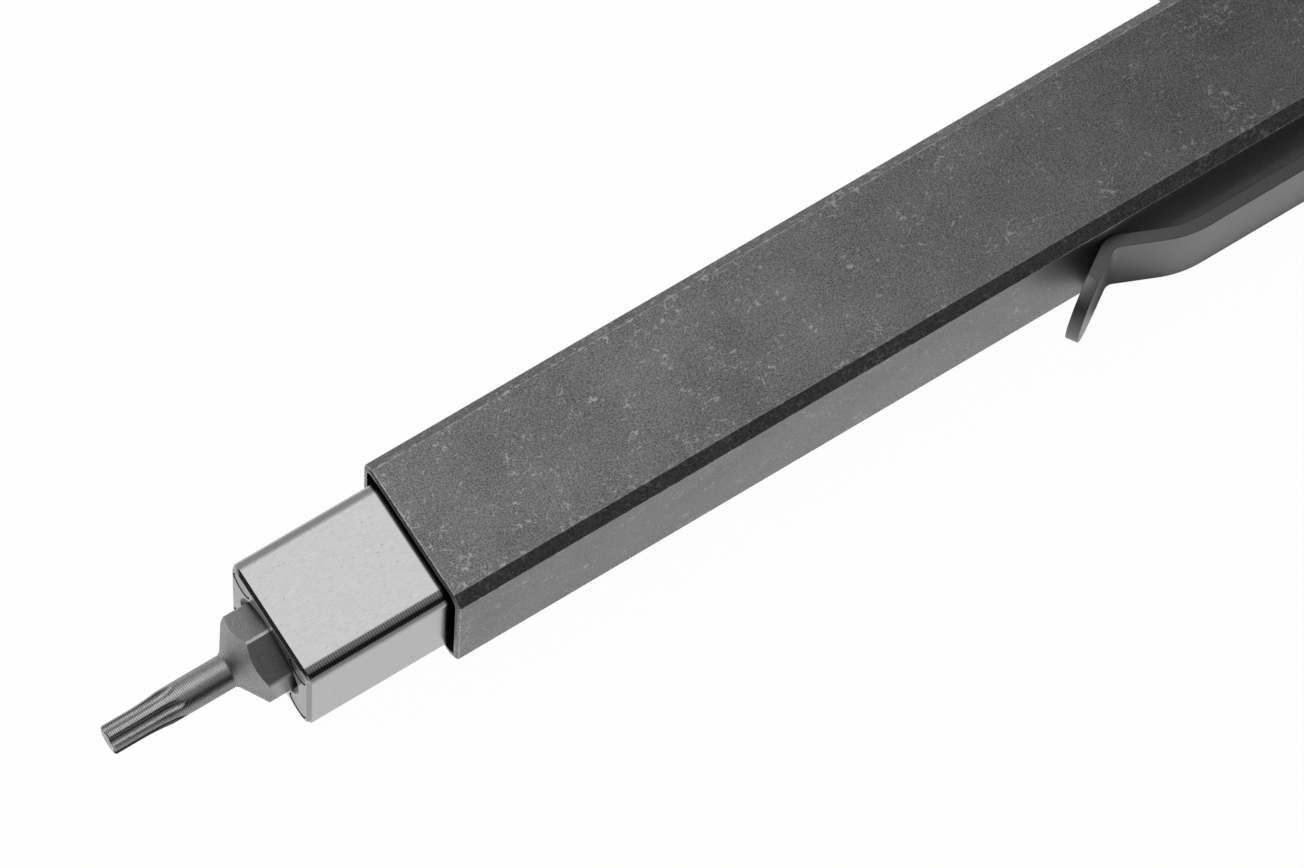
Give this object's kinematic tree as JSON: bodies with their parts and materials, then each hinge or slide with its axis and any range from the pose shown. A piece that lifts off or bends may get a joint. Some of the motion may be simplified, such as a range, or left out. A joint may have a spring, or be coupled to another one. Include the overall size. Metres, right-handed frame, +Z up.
{
  "type": "pocket screwdriver",
  "caption": "Square-tube pocket screwdriver: a square carriage with a hex bit slides out of the mouth, worked by a side bolt near the tail, with a spring pocket clip.",
  "frame": {"origin": "centre of the hex socket's mouth, on the carriage's front face, with the carriage out as in the picture", "axes": "+X along the tool towards the tip, +Y towards the pocket clip, +Z up, square to the flat that faces the camera"},
  "size_m": [0.1441, 0.0215, 0.013],
  "materials": {
    "stonewashed_tube": "stonewashed dark grey titanium with fine light flecks",
    "clip_metal": "satin dark grey titanium",
    "dark_screws": "black oxide",
    "black_rubber": "matt",
    "black_plastic": "turned acetal",
    "brushed_block": "brushed bright",
    "ground_steel": "ground",
    "white_plastic": "smooth low-friction sheet",
    "magnet": "nickel plated",
    "washer_brass": "satin",
    "bit_steel": "turned and tumbled tool steel"
  },
  "bodies": {
    "handle": {"body_sleeve": "stonewashed_tube", "pocket_clip": "clip_metal", "clip_screws": "dark_screws", "tail_plug": "stonewashed_tube", "rear_buffer": "black_rubber", "rod_bushing": "black_plastic"},
    "carriage": {"bit_block": "brushed_block", "corner_dowels": "ground_steel", "guide_block": "brushed_block", "glide_pads": "white_plastic", "bit_magnet": "magnet", "push_rod": "ground_steel", "rod_cross_pin": "ground_steel", "thrust_washer": "washer_brass", "bolt_washer": "washer_brass", "bolt_screw": "dark_screws"},
    "bolt": {"bolt_body": "ground_steel", "bolt_ring": "black_rubber", "bolt_stud": "ground_steel", "bolt_knob": "stonewashed_tube"},
    "bit": {"driver_bit": "bit_steel"}
  },
  "joints": [
    {"name": "carriage_slide", "type": "slide", "parent": "handle", "child": "carriage", "axis": [1, 0, 0], "range_m": [-0.0275, 0]},
    {"name": "bolt_turn", "type": "hinge", "parent": "carriage", "child": "bolt", "pos_m": [-0.08545, 0, 0], "axis": [-1, 0, 0], "range_deg": [0, 20]},
    {"name": "bit_pull", "type": "slide", "parent": "carriage", "child": "bit", "axis": [1, 0, 0], "range_m": [0, 0.0125]}
  ]
}
